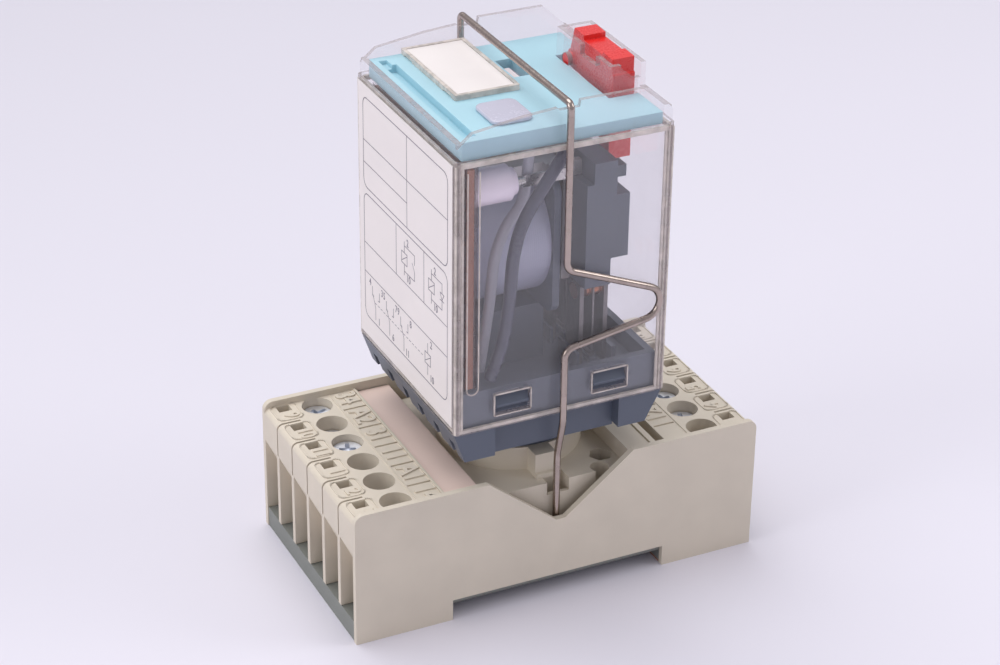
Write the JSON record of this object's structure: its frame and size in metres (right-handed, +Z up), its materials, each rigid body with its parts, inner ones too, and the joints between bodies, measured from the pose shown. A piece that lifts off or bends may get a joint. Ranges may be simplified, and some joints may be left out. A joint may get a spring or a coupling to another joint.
{
  "type": "plug-in control relay with rail socket",
  "caption": "Clear-cased plug-in control relay with a red test lever, in a beige rail-mount screw terminal socket with a spring wire retaining bail.",
  "frame": {"origin": "middle of the socket's underside, on the plane that it stands on", "axes": "+Z up from the socket to the relay's top, +X across the mounting rail towards the latch, +Y along the rail"},
  "size_m": [0.069, 0.0386, 0.0843],
  "materials": {
    "socket_plastic": "fine eroded texture",
    "base_plastic": "fine eroded texture",
    "latch_plastic": "smooth",
    "strip_plastic": "smooth, writable",
    "clear_cover": "clear moulded polycarbonate",
    "slate_plastic": "satin",
    "turquoise_plastic": "satin",
    "red_plastic": "gloss",
    "paper_label": "printed film",
    "lens_plastic": "frosted",
    "spring_steel": "drawn wire",
    "plated_steel": "zinc plated",
    "contact_copper": "bright",
    "winding_tape": "tape wound over enamelled wire",
    "board_laminate": "cut laminate",
    "lead_dark_sleeve": "satin sleeve",
    "lead_light_sleeve": "satin sleeve"
  },
  "bodies": {
    "socket": {"socket_housing": "socket_plastic", "socket_base_plate": "base_plastic", "marker_strip": "strip_plastic", "terminal_screws": "plated_steel", "clamp_cages": "plated_steel", "latch_spring": "spring_steel", "socket_contact_01": "contact_copper", "socket_contact_02": "contact_copper", "socket_contact_03": "contact_copper", "socket_contact_04": "contact_copper", "socket_contact_05": "contact_copper", "socket_contact_06": "contact_copper", "socket_contact_07": "contact_copper", "socket_contact_08": "contact_copper", "socket_contact_09": "contact_copper", "socket_contact_10": "contact_copper", "socket_contact_11": "contact_copper"},
    "relay": {"relay_cover": "clear_cover", "side_label": "paper_label", "top_plate": "turquoise_plastic", "marker_holder": "clear_cover", "marker_card": "paper_label", "indicator_lens": "lens_plastic", "relay_base": "slate_plastic", "coil_bobbin": "slate_plastic", "coil_winding": "winding_tape", "coil_core": "plated_steel", "yoke": "plated_steel", "circuit_board": "board_laminate", "lamp": "lens_plastic", "lamp_leads": "plated_steel", "lead_dark": "lead_dark_sleeve", "lead_light": "lead_light_sleeve", "return_spring": "spring_steel", "no_contact_1": "contact_copper", "no_contact_2": "contact_copper", "no_contact_3": "contact_copper", "nc_contact_1": "contact_copper", "nc_contact_2": "contact_copper", "nc_contact_3": "contact_copper", "plug_pin_01": "plated_steel", "plug_pin_02": "plated_steel", "plug_pin_03": "plated_steel", "plug_pin_04": "plated_steel", "plug_pin_05": "plated_steel", "plug_pin_06": "plated_steel", "plug_pin_07": "plated_steel", "plug_pin_08": "plated_steel", "plug_pin_09": "plated_steel", "plug_pin_10": "plated_steel", "plug_pin_11": "plated_steel"},
    "bail": {"retaining_bail": "spring_steel"},
    "armature_set": {"armature": "plated_steel", "contact_carrier": "slate_plastic", "position_flag": "strip_plastic"},
    "contact_set": {"moving_contact_1": "contact_copper", "moving_contact_2": "contact_copper", "moving_contact_3": "contact_copper"},
    "lever": {"test_lever": "red_plastic"},
    "latch": {"rail_latch": "latch_plastic"}
  },
  "joints": [
    {"name": "relay_plug", "type": "slide", "parent": "socket", "child": "relay", "axis": [0, 0, 1], "range_m": [0, 0.0004]},
    {"name": "bail_swing", "type": "hinge", "parent": "socket", "child": "bail", "pos_m": [0, 0, 0.012], "axis": [0, -1, 0], "range_deg": [0, 42]},
    {"name": "armature_pull", "type": "hinge", "parent": "relay", "child": "armature_set", "pos_m": [0.00535, 0, 0.0684], "axis": [0, 1, 0], "range_deg": [0, 3.2], "stiffness_Nm_per_rad": 0.05, "springref_deg": -11.46},
    {"name": "contact_flex", "type": "hinge", "parent": "relay", "child": "contact_set", "pos_m": [0.00875, 0, 0.037], "axis": [0, 1, 0], "range_deg": [-4.6, 0.1]},
    {"name": "lever_press", "type": "hinge", "parent": "relay", "child": "lever", "pos_m": [0.0144, 0.0056, 0.0791], "axis": [1, 0, 0], "range_deg": [-0.1, 6.6]},
    {"name": "latch_slide", "type": "slide", "parent": "socket", "child": "latch", "axis": [1, 0, 0], "range_m": [0, 0.0025], "stiffness_N_per_m": 100, "springref_m": -0.002, "deforming": ["latch_spring"]}
  ],
  "couplings": [
    {"joint": "contact_flex", "follows": "armature_pull", "ratio": -1.3887},
    {"joint": "lever_press", "follows": "armature_pull", "ratio": 2.0312}
  ]
}
